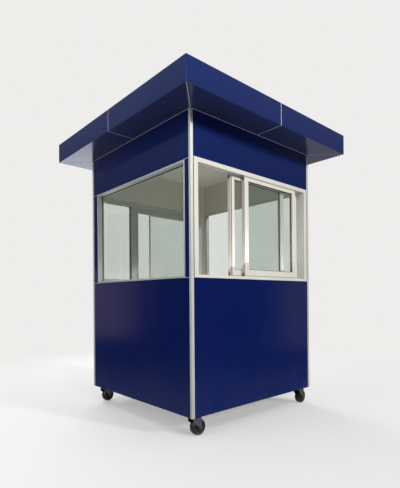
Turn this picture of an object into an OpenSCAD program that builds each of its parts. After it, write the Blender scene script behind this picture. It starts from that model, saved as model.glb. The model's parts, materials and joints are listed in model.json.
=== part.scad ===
// Security guard booth: a square cabin of aluminium composite panels on four swivel casters,
// with a boxed canopy all round, a sliding window in front, fixed side windows and a rear door.
// X runs to the right seen from the front, Y to the rear, Z up. The origin is on the ground,
// under the middle of the booth.

/* [Body] */
// Width over the corner posts
body_w = 1524; // [1372:1:2134]
// Depth over the corner posts
body_d = 1524; // [1372:1:2134]
// Height from the underside of the base to the top of the walls
body_h = 2270; // [2160:1:2800]
// Thickness of a wall panel, its sheet and its core together
panel_t = 54; // [40:1:80]
// Thickness of the lining board inside the walls
lining_t = 6; // [3:1:18]
// Width of a corner post's face
post_w = 25; // [20:1:40]
// How far the posts stand out of the wall panels
post_proud = 3; // [1:1:6]

/* [Base and floor] */
// Height and width of the base frame's steel tubes
base_tube = 50; // [40:1:80]
// Number of cross tubes between the base frame's two ends
base_cross_tubes = 2; // [1:1:4]
// Thickness of the floor panel
floor_t = 18; // [12:1:30]
// Thickness of the ceiling panel
ceiling_t = 12; // [6:1:20]

/* [Windows] */
// Height of the window sills above the underside of the base
sill_h = 1034; // [850:1:1150]
// Height of the side windows' heads above the underside of the base
side_head_h = 1912; // [1800:1:2000]
// Height of the front window's head above the underside of the base
front_head_h = 1925; // [1800:1:2000]
// Width of the cladding strip between the front post and a side window
strip_front = 48; // [30:1:120]
// Width of the cladding strip between the rear post and a side window
strip_rear = 74; // [30:1:120]
// Width of the sliver of cladding between a post and the front window
front_gap = 7; // [2:1:20]
// How far the window and door frames stand out of the wall panels
frame_proud = 2; // [0:1:3]
// Face of a fixed side window's frame
side_frame_face = 14; // [10:1:30]
// Thickness of the fixed glass
glass_t = 6; // [4:1:10]
// Width and depth of the bead that holds the fixed glass on the room side
bead = 6; // [4:1:7]

/* [Sliding window] */
// Face of the sliding window's jambs
slide_jamb = 42; // [30:1:60]
// Height of the head member, without its track lips
slide_head = 26; // [20:1:40]
// Height of the sill member, without its track lips
slide_sill = 14; // [10:1:30]
// Height of the lips that guide the sashes
track_lip = 8; // [5:1:12]
// Width of one sash track
track_w = 34; // [26:1:42]
// Thickness of the outer lip
outer_lip = 5; // [3:1:8]
// Thickness of the rib between the tracks
middle_rib = 3; // [2:1:5]
// Thickness of the lip on the room side
inner_lip = 2; // [2:1:4]
// Running gap on each side of a sash in its track
track_clear = 1; // [0.5:0.5:2]
// How much the two sashes overlap when the window is shut
sash_overlap = 60; // [50:1:80]
// Width of a sash stile
sash_stile = 48; // [36:1:60]
// Height of a sash's top rail
sash_top_rail = 42; // [30:1:60]
// Height of a sash's bottom rail
sash_bottom_rail = 66; // [40:1:80]
// Thickness of the sash glass
sash_glass_t = 5; // [4:1:6]
// How far the outer sash stands slid open from the right jamb
outer_slide = 136; // [0:1:400]
// How far the inner sash stands slid open from the left jamb
inner_slide = 390; // [0:1:600]

/* [Rear wall and door] */
// Face of the rear frame's jambs, head, sill and mullion
rear_face = 42; // [36:1:60]
// Clear width of the sidelight beside the door
sidelight_w = 355; // [200:1:430]
// Width of the door leaf
leaf_w = 776; // [640:1:940]
// Thickness of the door leaf
leaf_t = 40; // [34:1:42]
// Gap round the leaf
leaf_gap = 5; // [5:1:8]
// Width of the leaf's stiles and height of its top rail
leaf_stile = 45; // [40:1:70]
// Height of the leaf's bottom rail
leaf_bottom_rail = 90; // [60:1:140]
// Height of the leaf's middle rail
leaf_mid_rail = 60; // [45:1:100]
// Thickness of the leaf's lower panel
leaf_panel_t = 24; // [10:1:30]
// How far the door stops stand into the opening
stop_face = 12; // [8:1:16]
// How far the threshold stands above the floor
threshold_rise = 10; // [6:1:20]
// Diameter of a hinge knuckle
knuckle_d = 14; // [12:1:20]
// Diameter of a hinge pin
hinge_pin_d = 8; // [6:1:9]
// Height of a whole hinge
hinge_h = 100; // [80:1:140]
// Thickness of a hinge plate
hinge_plate_t = 3; // [2:1:4]
// Width of a hinge plate
hinge_plate_w = 28; // [20:1:34]
// Height of the handle's spindle above the floor
handle_h = 1000; // [900:1:1100]
// Diameter of the lever
lever_d = 18; // [14:1:22]
// Length of the lever
lever_len = 115; // [90:1:140]

/* [Canopy and roof] */
// How far the canopy reaches out past the posts
overhang = 244; // [150:1:400]
// Height of the canopy's fascia
fascia_h = 182; // [120:1:260]
// Thickness of the composite sheet that the canopy is folded from
sheet_t = 4; // [3:1:6]
// Width of the open seams between the folded sheets
seam_w = 6; // [2:1:8]
// Width of the fascia's fold over the roof's edge
fold_w = 25; // [15:1:50]
// Thickness of the roof deck
deck_t = 30; // [20:1:50]

/* [Casters] */
// Overall height of a caster
caster_h = 158; // [145:1:180]
// Distance from the outside of the posts to a caster's swivel axis
caster_inset = 80; // [55:1:140]
// Diameter of a wheel
wheel_d = 125; // [100:1:130]
// Width of a wheel's tread
wheel_w = 50; // [30:1:55]
// Horizontal distance from the swivel axis to the axle
trail = 40; // [25:1:45]
// Side of the square top plate
plate_w = 100; // [90:1:110]
// Thickness of the top plate
plate_t = 5; // [4:1:8]
// Diameter of the swivel head
swivel_d = 56; // [50:1:75]
// Diameter of the kingpin
kingpin_d = 12; // [10:1:16]
// Thickness of a fork leg
leg_t = 4; // [3:1:6]
// Diameter of the axle
axle_d = 12; // [8:1:12]

/* [Hidden] */
$fn = 48;

navy = [0.07, 0.11, 0.33];
silver = [0.80, 0.80, 0.78];
cream = [0.83, 0.82, 0.77];
grey = [0.62, 0.62, 0.58];
tint = [0.55, 0.62, 0.58, 0.35];

// Outer faces of the wall panels
face_x = body_w / 2 - post_proud;
face_y = body_d / 2 - post_proud;
// Inner faces of the wall panels
core_x = face_x - panel_t;
core_y = face_y - panel_t;
// Inner faces of the lining
room_x = core_x - lining_t;
room_y = core_y - lining_t;
// Edges of the panels beside the posts
edge_x = body_w / 2 - post_w;
edge_y = body_d / 2 - post_w;

// Levels
base_z = caster_h;
floor_z = base_z + base_tube + floor_t;
sill_z = base_z + sill_h;
side_head_z = base_z + side_head_h;
front_head_z = base_z + front_head_h;
wall_top_z = base_z + body_h;
ceiling_z = wall_top_z - ceiling_t;

// A cut that ends in the open runs this far past the face
over = 1;

// Side windows
side_win_y0 = -edge_y + strip_front;
side_win_y1 = edge_y - strip_rear;

// Sliding window
slide_x = edge_x - front_gap;
slide_y0 = -face_y - frame_proud;
slide_depth = outer_lip + track_w + middle_rib + track_w + inner_lip;
slide_clear_x = slide_x - slide_jamb;
slide_bottom_z = sill_z + slide_sill;
slide_top_z = front_head_z - slide_head;
sash_t = track_w - 2 * track_clear;
sash_w = slide_clear_x + sash_overlap / 2;
sash_top_gap = 3;
sash_h = slide_top_z - sash_top_gap - slide_bottom_z;
outer_sash_x = slide_clear_x - sash_w - outer_slide;
outer_sash_y = slide_y0 + outer_lip + track_clear;
inner_sash_x = -slide_clear_x + inner_slide;
inner_sash_y = outer_sash_y + track_w + middle_rib;

// Rear wall: frame, sidelight and door, from the left wall towards the right
rear_y0 = core_y;
rear_y1 = face_y + frame_proud;
rear_x0 = -edge_x + front_gap;
mullion_x0 = rear_x0 + rear_face + sidelight_w;
door_x0 = mullion_x0 + rear_face;
door_x1 = door_x0 + leaf_w + 2 * leaf_gap;
rear_x1 = door_x1 + rear_face;
rear_head_z = side_head_z;
door_top_z = rear_head_z - rear_face;
threshold_z = floor_z + threshold_rise;
leaf_x0 = door_x0 + leaf_gap;
leaf_x1 = door_x1 - leaf_gap;
leaf_z0 = threshold_z + leaf_gap;
leaf_z1 = door_top_z - leaf_gap;
leaf_y0 = face_y - leaf_t;
stop_t = leaf_y0 - leaf_gap - rear_y0;
leaf_mid_z = sill_z;

// Hinges: the pin's axis stands over the gap between leaf and jamb
hinge_x = door_x1 - leaf_gap / 2;
hinge_off = 2;
hinge_y = rear_y1 + knuckle_d / 2 + hinge_off;
hinge_end = 180;
hinge_zs = [leaf_z0 + hinge_end, (leaf_z0 + leaf_z1) / 2, leaf_z1 - hinge_end];
pin_clear = 0.1;
knuckle_gap = 0.5;

// Handle
handle_z = floor_z + handle_h;
handle_x = leaf_x0 + leaf_stile / 2;
handle_plate = [34, 5, 210];
// Share of the plate's height that lies below the spindle
handle_low = 0.6;
handle_reach = 46;

// Canopy
canopy_x = body_w / 2 + overhang;
canopy_y = body_d / 2 + overhang;

// Casters: the direction each wheel trails in, in degrees from +X
axle_z = wheel_d / 2;
trail_front_left = 0;
trail_front_right = 5;
trail_rear_left = 16;
trail_rear_right = 10;
swivel_x = body_w / 2 - caster_inset;
swivel_y = body_d / 2 - caster_inset;
swivel_gap = 0.5;
crown_t = 5;
crown_gap = 6;
crown_z = wheel_d + crown_gap;
crown_back = 28;
crown_front = 52;
crown_skirt = 24;
foot_r = 14;
foot_taper = 3;
nut_d = 20;
nut_t = 6;
hub_d = 44;
hub_clear = 1;
leg_gap = 5;
leg_inner = wheel_w / 2 + leg_gap;
bore_clear = 0.1;
tyre_t = 18;
tread_round = 7;
web_recess = 12;
web_fillet = 3;

// A box from one corner to the opposite one
module block(low, high) {
    translate(low) cube(high - low);
}

// A rectangular frame that lies in the XZ plane, with its low corner at `at`.
// `faces` holds the widths of the left, right, top and bottom members.
module frame_xz(at, size, depth, faces) {
    translate(at) difference() {
        cube([size[0], depth, size[1]]);
        translate([faces[0], -over, faces[3]])
            cube([size[0] - faces[0] - faces[1], depth + 2 * over, size[1] - faces[2] - faces[3]]);
    }
}

// ---- Base and floor ----

module base_frame() {
    bay = 2 * core_x / (base_cross_tubes + 1);
    color("dimgray") union() {
        difference() {
            block([-core_x, -core_y, base_z], [core_x, core_y, base_z + base_tube]);
            block([-core_x + base_tube, -core_y + base_tube, base_z - over],
                  [core_x - base_tube, core_y - base_tube, base_z + base_tube + over]);
        }
        for (i = [1:base_cross_tubes]) {
            x = -core_x + i * bay;
            block([x - base_tube / 2, -core_y + base_tube - over, base_z],
                  [x + base_tube / 2, core_y - base_tube + over, base_z + base_tube]);
        }
    }
}

module floor_panel() {
    color("gray") block([-core_x, -core_y, floor_z - floor_t], [core_x, core_y, floor_z]);
}

// ---- Walls ----

module corner_posts() {
    color(silver) for (sx = [-1, 1], sy = [-1, 1])
        translate([sx * (body_w / 2 - post_w / 2), sy * (body_d / 2 - post_w / 2), base_z])
            linear_extrude(body_h) square(post_w, center = true);
}

// The front wall's panels between two levels and two places along X
module front_wall(x0, x1, z0, z1) {
    block([x0, -face_y, z0], [x1, -core_y, z1]);
}

// The rear wall's panels between two levels and two places along X
module rear_wall(x0, x1, z0, z1) {
    block([x0, core_y, z0], [x1, face_y, z1]);
}

// The left wall's panels, which step round the posts and butt against the front and rear walls
module left_wall(y0, y1, z0, z1) {
    intersection() {
        translate([0, 0, z0]) linear_extrude(z1 - z0) polygon([
            [-face_x, -edge_y], [-edge_x, -edge_y], [-edge_x, -core_y], [-core_x, -core_y],
            [-core_x, core_y], [-edge_x, core_y], [-edge_x, edge_y], [-face_x, edge_y]
        ]);
        block([-body_w, y0, z0 - over], [0, y1, z1 + over]);
    }
}

module front_lower_panel() {
    color(navy) front_wall(-edge_x, edge_x, base_z, sill_z);
}

module front_upper_panel() {
    color(navy) front_wall(-edge_x, edge_x, front_head_z, wall_top_z);
}

module left_lower_panel() {
    color(navy) left_wall(-body_d, body_d, base_z, sill_z);
}

module left_upper_panel() {
    color(navy) left_wall(-body_d, body_d, side_head_z, wall_top_z);
}

module right_lower_panel() {
    mirror([1, 0, 0]) left_lower_panel();
}

module right_upper_panel() {
    mirror([1, 0, 0]) left_upper_panel();
}

module rear_lower_panel() {
    color(navy) rear_wall(-edge_x, mullion_x0, base_z, sill_z);
}

module rear_right_panel() {
    color(navy) rear_wall(rear_x1, edge_x, base_z, rear_head_z);
}

module rear_upper_panel() {
    color(navy) rear_wall(-edge_x, edge_x, rear_head_z, wall_top_z);
}

// The narrow pieces of cladding beside the windows, and the one under the door
module cladding_strips() {
    color(navy) {
        for (m = [0, 1]) mirror([m, 0, 0]) {
            front_wall(-edge_x, -slide_x, sill_z, front_head_z);
            left_wall(-body_d, side_win_y0, sill_z, side_head_z);
            left_wall(side_win_y1, body_d, sill_z, side_head_z);
        }
        rear_wall(-edge_x, rear_x0, sill_z, rear_head_z);
        rear_wall(mullion_x0, rear_x1, base_z, base_z + base_tube);
    }
}

// One board all round the room, cut out for the windows and the door
module wall_lining() {
    color(grey) difference() {
        block([-core_x, -core_y, floor_z], [core_x, core_y, ceiling_z]);
        block([-room_x, -room_y, floor_z - over], [room_x, room_y, ceiling_z + over]);
        block([-room_x, -core_y - over, sill_z], [room_x, -room_y + over, front_head_z]);
        block([-core_x - over, side_win_y0, sill_z], [core_x + over, side_win_y1, side_head_z]);
        block([mullion_x0, room_y - over, floor_z - over], [rear_x1, core_y + over, rear_head_z]);
        block([rear_x0 + rear_face, room_y - over, sill_z], [mullion_x0 + over, core_y + over, rear_head_z]);
    }
}

module ceiling_panel() {
    color("whitesmoke") block([-core_x, -core_y, ceiling_z], [core_x, core_y, wall_top_z]);
}

// ---- Sliding front window ----

module front_window_frame() {
    height = front_head_z - sill_z;
    lip_ys = [0, outer_lip + track_w, slide_depth - inner_lip];
    lip_ts = [outer_lip, middle_rib, inner_lip];
    color(cream) difference() {
        union() {
            frame_xz([-slide_x, slide_y0, sill_z], [2 * slide_x, height], slide_depth,
                     [slide_jamb, slide_jamb, slide_head, slide_sill]);
            for (i = [0:2]) {
                y = slide_y0 + lip_ys[i];
                block([-slide_clear_x - over, y, slide_bottom_z - over],
                      [slide_clear_x + over, y + lip_ts[i], slide_bottom_z + track_lip]);
                block([-slide_clear_x - over, y, slide_top_z - track_lip],
                      [slide_clear_x + over, y + lip_ts[i], slide_top_z + over]);
            }
        }
        for (m = [0, 1]) mirror([m, 0, 0])
            block([-slide_x - over, -core_y, sill_z - over],
                  [-room_x, slide_y0 + slide_depth + over, front_head_z + over]);
    }
}

module sash(at) {
    frame_xz(at, [sash_w, sash_h], sash_t, [sash_stile, sash_stile, sash_top_rail, sash_bottom_rail]);
}

module sash_pane(at) {
    translate(at + [sash_stile, (sash_t - sash_glass_t) / 2, sash_bottom_rail])
        cube([sash_w - 2 * sash_stile, sash_glass_t, sash_h - sash_top_rail - sash_bottom_rail]);
}

module outer_sash() {
    color(cream) sash([outer_sash_x, outer_sash_y, slide_bottom_z]);
}

module inner_sash() {
    color(cream) sash([inner_sash_x, inner_sash_y, slide_bottom_z]);
}

module outer_sash_glass() {
    color(tint) sash_pane([outer_sash_x, outer_sash_y, slide_bottom_z]);
}

module inner_sash_glass() {
    color(tint) sash_pane([inner_sash_x, inner_sash_y, slide_bottom_z]);
}

// ---- Fixed side windows ----

module left_window_frame() {
    width = side_win_y1 - side_win_y0;
    height = side_head_z - sill_z;
    f = side_frame_face;
    color(silver) difference() {
        block([-face_x - frame_proud, side_win_y0, sill_z], [-room_x, side_win_y1, side_head_z]);
        block([-face_x - frame_proud - over, side_win_y0 + f, sill_z + f],
              [-room_x - bead, side_win_y1 - f, side_head_z - f]);
        block([-room_x - bead - over, side_win_y0 + f + bead, sill_z + f + bead],
              [-room_x + over, side_win_y1 - f - bead, side_head_z - f - bead]);
    }
}

module left_window_glass() {
    f = side_frame_face;
    color(tint) block([-room_x - bead - glass_t, side_win_y0 + f, sill_z + f],
                      [-room_x - bead, side_win_y1 - f, side_head_z - f]);
}

module right_window_frame() {
    mirror([1, 0, 0]) left_window_frame();
}

module right_window_glass() {
    mirror([1, 0, 0]) left_window_glass();
}

// ---- Rear frame, sidelight and door ----

module door_frame() {
    z0 = floor_z - floor_t;
    color(silver) union() {
        difference() {
            block([mullion_x0, rear_y0, z0], [rear_x1, rear_y1, rear_head_z]);
            block([door_x0, rear_y0 - over, threshold_z], [door_x1, rear_y1 + over, door_top_z]);
        }
        difference() {
            block([door_x0 - over, rear_y0, threshold_z - over],
                  [door_x1 + over, rear_y0 + stop_t, door_top_z + over]);
            block([door_x0 + stop_face, rear_y0 - over, threshold_z - 2 * over],
                  [door_x1 - stop_face, rear_y0 + stop_t + over, door_top_z - stop_face]);
        }
    }
}

// Three members that close on the door frame's mullion
module sidelight_frame() {
    color(silver) difference() {
        block([rear_x0, rear_y0, sill_z], [mullion_x0, rear_y1, rear_head_z]);
        block([rear_x0 + rear_face, rear_y0 - over, sill_z + rear_face],
              [mullion_x0 + over, rear_y1 + over, rear_head_z - rear_face]);
    }
}

module sidelight_glass() {
    y = (rear_y0 + rear_y1 - glass_t) / 2;
    color(tint) block([rear_x0 + rear_face, y, sill_z + rear_face],
                      [mullion_x0, y + glass_t, rear_head_z - rear_face]);
}

module door_leaf() {
    color(silver) difference() {
        block([leaf_x0, leaf_y0, leaf_z0], [leaf_x1, face_y, leaf_z1]);
        block([leaf_x0 + leaf_stile, leaf_y0 - over, leaf_z0 + leaf_bottom_rail],
              [leaf_x1 - leaf_stile, face_y + over, leaf_mid_z]);
        block([leaf_x0 + leaf_stile, leaf_y0 - over, leaf_mid_z + leaf_mid_rail],
              [leaf_x1 - leaf_stile, face_y + over, leaf_z1 - leaf_stile]);
    }
}

module door_panel() {
    y = leaf_y0 + (leaf_t - leaf_panel_t) / 2;
    color(navy) block([leaf_x0 + leaf_stile, y, leaf_z0 + leaf_bottom_rail],
                      [leaf_x1 - leaf_stile, y + leaf_panel_t, leaf_mid_z]);
}

module door_glass() {
    y = leaf_y0 + (leaf_t - glass_t) / 2;
    color(tint) block([leaf_x0 + leaf_stile, y, leaf_mid_z + leaf_mid_rail],
                      [leaf_x1 - leaf_stile, y + glass_t, leaf_z1 - leaf_stile]);
}

// One side of the handle: its plate, neck and lever, standing on the plane y = 0 towards +Y
module handle_side() {
    translate([-handle_plate[0] / 2, 0, -handle_plate[2] * handle_low]) cube(handle_plate);
    rotate([-90, 0, 0]) cylinder(d = lever_d, h = handle_reach);
    translate([0, handle_reach, 0]) rotate([0, 90, 0]) cylinder(d = lever_d, h = lever_len);
    translate([0, handle_reach, 0]) sphere(d = lever_d);
}

module door_handles() {
    color("silver") {
        translate([handle_x, face_y, handle_z]) handle_side();
        translate([handle_x, leaf_y0, handle_z]) mirror([0, 1, 0]) handle_side();
    }
}

// The jamb's half of each hinge: plate, two outer knuckles and the pin
module frame_hinges() {
    third = hinge_h / 3;
    color("silver") for (z = hinge_zs) translate([hinge_x, hinge_y, z - hinge_h / 2]) {
        cylinder(d = hinge_pin_d, h = hinge_h);
        for (k = [0, 2]) translate([0, 0, k * third]) {
            cylinder(d = knuckle_d, h = third);
            translate([0, rear_y1 - hinge_y, 0]) cube([knuckle_d / 2, hinge_y - rear_y1, third]);
        }
        translate([knuckle_d / 2 - 1, rear_y1 - hinge_y, 0]) cube([hinge_plate_w, hinge_plate_t, hinge_h]);
    }
}

// The leaf's half of each hinge: plate and middle knuckle, bored for the pin
module leaf_hinges() {
    third = hinge_h / 3;
    color("silver") for (z = hinge_zs) translate([hinge_x, hinge_y, z - hinge_h / 2]) difference() {
        union() {
            translate([0, 0, third + knuckle_gap]) {
                cylinder(d = knuckle_d, h = third - 2 * knuckle_gap);
                translate([-knuckle_d / 2, face_y - hinge_y, 0])
                    cube([knuckle_d / 2 - 1, hinge_y - face_y, third - 2 * knuckle_gap]);
            }
            translate([-knuckle_d / 2 - hinge_plate_w, face_y - hinge_y, 0])
                cube([hinge_plate_w + 1, hinge_plate_t, hinge_h]);
        }
        translate([0, 0, -over]) cylinder(d = hinge_pin_d + 2 * pin_clear, h = hinge_h + 2 * over);
    }
}

// ---- Canopy and roof ----

// Half of one canopy side, folded from one sheet. It faces -Y and runs from the middle to
// the corner towards +X. `cx` and `cy` are the canopy's half sizes, `ix` and `iy` the edges inside.
module canopy_half(cx, cy, ix, iy) {
    s = seam_w / 2;
    m = seam_w * sqrt(2) / 2;
    t = sheet_t;
    translate([0, 0, wall_top_z]) {
        linear_extrude(fascia_h) polygon([[s, -cy], [cx, -cy], [cx - t, -cy + t], [s, -cy + t]]);
        linear_extrude(t) polygon([[s, -cy + t / 2], [cx - t - m, -cy + t / 2], [cx - t - m, -cy + t],
                                   [ix - m, -iy], [s, -iy]]);
        translate([0, 0, fascia_h - t])
            linear_extrude(t) polygon([[s, -cy + t / 2], [cx - t, -cy + t / 2], [cx - t, -cy + t],
                                       [cx - fold_w, -cy + fold_w], [s, -cy + fold_w]]);
    }
}

module canopy_side(cx, cy, ix, iy) {
    color(navy) for (m = [0, 1]) mirror([m, 0, 0]) canopy_half(cx, cy, ix, iy);
}

module canopy_front() {
    canopy_side(canopy_x, canopy_y, core_x, core_y);
}

module canopy_rear() {
    mirror([0, 1, 0]) canopy_side(canopy_x, canopy_y, core_x, core_y);
}

module canopy_left() {
    rotate([0, 0, -90]) canopy_side(canopy_y, canopy_x, core_y, core_x);
}

module canopy_right() {
    rotate([0, 0, 90]) canopy_side(canopy_y, canopy_x, core_y, core_x);
}

module roof_deck() {
    top = wall_top_z + fascia_h - sheet_t;
    x = canopy_x - sheet_t;
    y = canopy_y - sheet_t;
    color("lightgray") block([-x, -y, top - deck_t], [x, y, top]);
}

// ---- Casters ----

module caster_plates() {
    color("dimgray") for (sx = [-1, 1], sy = [-1, 1])
        translate([sx * swivel_x, sy * swivel_y, caster_h - plate_t]) difference() {
            translate([-plate_w / 2, -plate_w / 2, 0]) cube([plate_w, plate_w, plate_t]);
            translate([0, 0, -over]) cylinder(d = kingpin_d + 2 * bore_clear, h = plate_t + 2 * over);
        }
}

// Head, crown, two legs, kingpin and axle; the axle lies along Y, `trail` away along +X
module fork() {
    head_z = crown_z + crown_t;
    head_top = caster_h - plate_t - swivel_gap;
    half = leg_inner + leg_t;
    color("darkgray") union() {
        translate([0, 0, head_z - over]) cylinder(d = swivel_d, h = head_top - head_z + over);
        translate([0, 0, head_z]) cylinder(d = kingpin_d, h = caster_h - swivel_gap - head_z);
        block([-crown_back, -half, crown_z], [crown_front, half, head_z]);
        for (m = [0, 1]) mirror([0, m, 0]) {
            translate([0, half, 0]) rotate([90, 0, 0]) linear_extrude(leg_t) {
                polygon([[-crown_back, head_z], [crown_front, head_z],
                         [trail + foot_r - foot_taper, axle_z], [trail - foot_r + foot_taper, axle_z],
                         [-crown_back, head_z - crown_skirt]]);
                translate([trail, axle_z]) circle(r = foot_r);
            }
            translate([trail, half + nut_t, axle_z]) rotate([90, 0, 0])
                cylinder(d = nut_d, h = nut_t + leg_t / 2, $fn = 6);
        }
        translate([trail, half, axle_z]) rotate([90, 0, 0]) cylinder(d = axle_d, h = 2 * half);
    }
}

// Hub, web and tread turned about the axle, which lies along Y
module wheel() {
    r = wheel_d / 2;
    w = wheel_w / 2;
    web = w - web_recess;
    hub = leg_inner - hub_clear;
    rim = r - tyre_t;
    arc = [for (a = [0:18:90]) [r - tread_round * (1 - cos(a)), w - tread_round * (1 - sin(a))]];
    upper = concat(arc, [
        [rim, w], [rim - web_fillet, web], [hub_d / 2 + web_fillet, web],
        [hub_d / 2, hub], [axle_d / 2 + bore_clear, hub]
    ]);
    lower = [for (i = [len(upper) - 1:-1:0]) [upper[i][0], -upper[i][1]]];
    color([0.09, 0.09, 0.10]) translate([trail, 0, axle_z]) rotate([90, 0, 0])
        rotate_extrude($fn = 96) polygon(concat(upper, lower));
}

// Puts a caster's piece under a corner, turned to where its wheel trails
module at_corner(sx, sy, angle) {
    translate([sx * swivel_x, sy * swivel_y, 0]) rotate([0, 0, angle]) children();
}

module caster_fork_front_left() {
    at_corner(-1, -1, trail_front_left) fork();
}

module caster_fork_front_right() {
    at_corner(1, -1, trail_front_right) fork();
}

module caster_fork_rear_left() {
    at_corner(-1, 1, trail_rear_left) fork();
}

module caster_fork_rear_right() {
    at_corner(1, 1, trail_rear_right) fork();
}

module caster_wheel_front_left() {
    at_corner(-1, -1, trail_front_left) wheel();
}

module caster_wheel_front_right() {
    at_corner(1, -1, trail_front_right) wheel();
}

module caster_wheel_rear_left() {
    at_corner(-1, 1, trail_rear_left) wheel();
}

module caster_wheel_rear_right() {
    at_corner(1, 1, trail_rear_right) wheel();
}

base_frame();
floor_panel();
corner_posts();
front_lower_panel();
front_upper_panel();
left_lower_panel();
left_upper_panel();
right_lower_panel();
right_upper_panel();
rear_lower_panel();
rear_right_panel();
rear_upper_panel();
cladding_strips();
wall_lining();
ceiling_panel();
front_window_frame();
outer_sash();
inner_sash();
outer_sash_glass();
inner_sash_glass();
left_window_frame();
left_window_glass();
right_window_frame();
right_window_glass();
door_frame();
sidelight_frame();
sidelight_glass();
door_leaf();
door_panel();
door_glass();
door_handles();
frame_hinges();
leaf_hinges();
canopy_front();
canopy_left();
canopy_rear();
canopy_right();
roof_deck();
caster_plates();
caster_fork_front_left();
caster_fork_front_right();
caster_fork_rear_left();
caster_fork_rear_right();
caster_wheel_front_left();
caster_wheel_front_right();
caster_wheel_rear_left();
caster_wheel_rear_right();
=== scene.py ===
import bmesh
import bpy
import json
import math
from mathutils import Matrix, Vector


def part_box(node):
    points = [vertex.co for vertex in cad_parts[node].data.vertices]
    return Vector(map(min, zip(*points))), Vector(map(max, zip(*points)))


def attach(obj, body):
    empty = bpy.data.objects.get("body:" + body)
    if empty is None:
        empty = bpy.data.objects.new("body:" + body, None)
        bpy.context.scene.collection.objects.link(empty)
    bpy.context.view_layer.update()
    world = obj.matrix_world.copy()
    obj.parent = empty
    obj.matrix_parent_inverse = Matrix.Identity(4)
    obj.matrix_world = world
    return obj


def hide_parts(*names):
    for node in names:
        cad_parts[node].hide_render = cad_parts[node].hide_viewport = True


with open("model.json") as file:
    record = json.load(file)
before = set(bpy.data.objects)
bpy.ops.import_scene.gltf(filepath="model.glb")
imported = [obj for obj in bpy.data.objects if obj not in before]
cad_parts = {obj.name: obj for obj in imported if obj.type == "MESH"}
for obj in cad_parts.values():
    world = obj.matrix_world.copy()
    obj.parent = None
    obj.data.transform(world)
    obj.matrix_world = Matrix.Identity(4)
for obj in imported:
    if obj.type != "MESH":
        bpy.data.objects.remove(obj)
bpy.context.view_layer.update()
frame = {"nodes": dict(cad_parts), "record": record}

# ---- Places and sizes, in metres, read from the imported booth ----

post_low, post_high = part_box("corner_posts")
base_z, wall_top = post_low.z, post_high.z
lower_low, lower_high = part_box("front_lower_panel")
face_y, edge_x, sill_z = -lower_low.y, lower_high.x, lower_high.z
left_low, left_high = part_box("left_lower_panel")
face_x, edge_y = -left_low.x, left_high.y
front_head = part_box("front_upper_panel")[0].z
side_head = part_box("left_upper_panel")[0].z
lining_low, lining_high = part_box("wall_lining")
core_x, core_y = lining_high.x, lining_high.y
canopy_low, canopy_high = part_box("canopy_front")
canopy_x, canopy_y = canopy_high.x, -canopy_low.y
roof_z = canopy_high.z
window_low, window_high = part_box("left_window_frame")
slide_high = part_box("front_window_frame")[1]
outer_low, outer_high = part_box("outer_sash")
inner_low, inner_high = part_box("inner_sash")
leaf_low, leaf_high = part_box("door_leaf")
door_low, door_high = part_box("door_frame")
side_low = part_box("sidelight_frame")[0]
plate_low, plate_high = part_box("caster_plates")
wheel_low, wheel_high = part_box("caster_wheel_front_left")
lining_t = 0.006
sheet_t = 0.004
leaf_gap = 0.005
hinge_screw_steps = (0.014, 0.05, 0.086)
room_x, room_y = core_x - lining_t, core_y - lining_t

node_slot = {part["node"]: part["material_slot"] for part in frame["record"]["subparts"]}
round_plan = ((-1, -1), (1, -1), (1, 1), (-1, 1))
body_nodes = frame["record"]["behaviour"]["bodies"]
node_body = {node: body for body, nodes in body_nodes.items() for node in nodes}


# ---- Finishes ----


class Wire:
    """A value inside a finish. Sums written on it become the finish's own maths."""

    def __init__(self, finish, socket):
        self.finish = finish
        self.socket = socket

    def _sum(self, operation, *terms):
        return self.finish.node("ShaderNodeMath", {"operation": operation}, dict(enumerate(terms)))

    def __add__(self, other):
        return self._sum("ADD", self, other)

    def __radd__(self, other):
        return self._sum("ADD", other, self)

    def __sub__(self, other):
        return self._sum("SUBTRACT", self, other)

    def __rsub__(self, other):
        return self._sum("SUBTRACT", other, self)

    def __mul__(self, other):
        return self._sum("MULTIPLY", self, other)

    def __rmul__(self, other):
        return self._sum("MULTIPLY", other, self)

    def __truediv__(self, other):
        return self._sum("DIVIDE", self, other)

    def __pow__(self, power):
        return self._sum("POWER", self, power)


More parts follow.
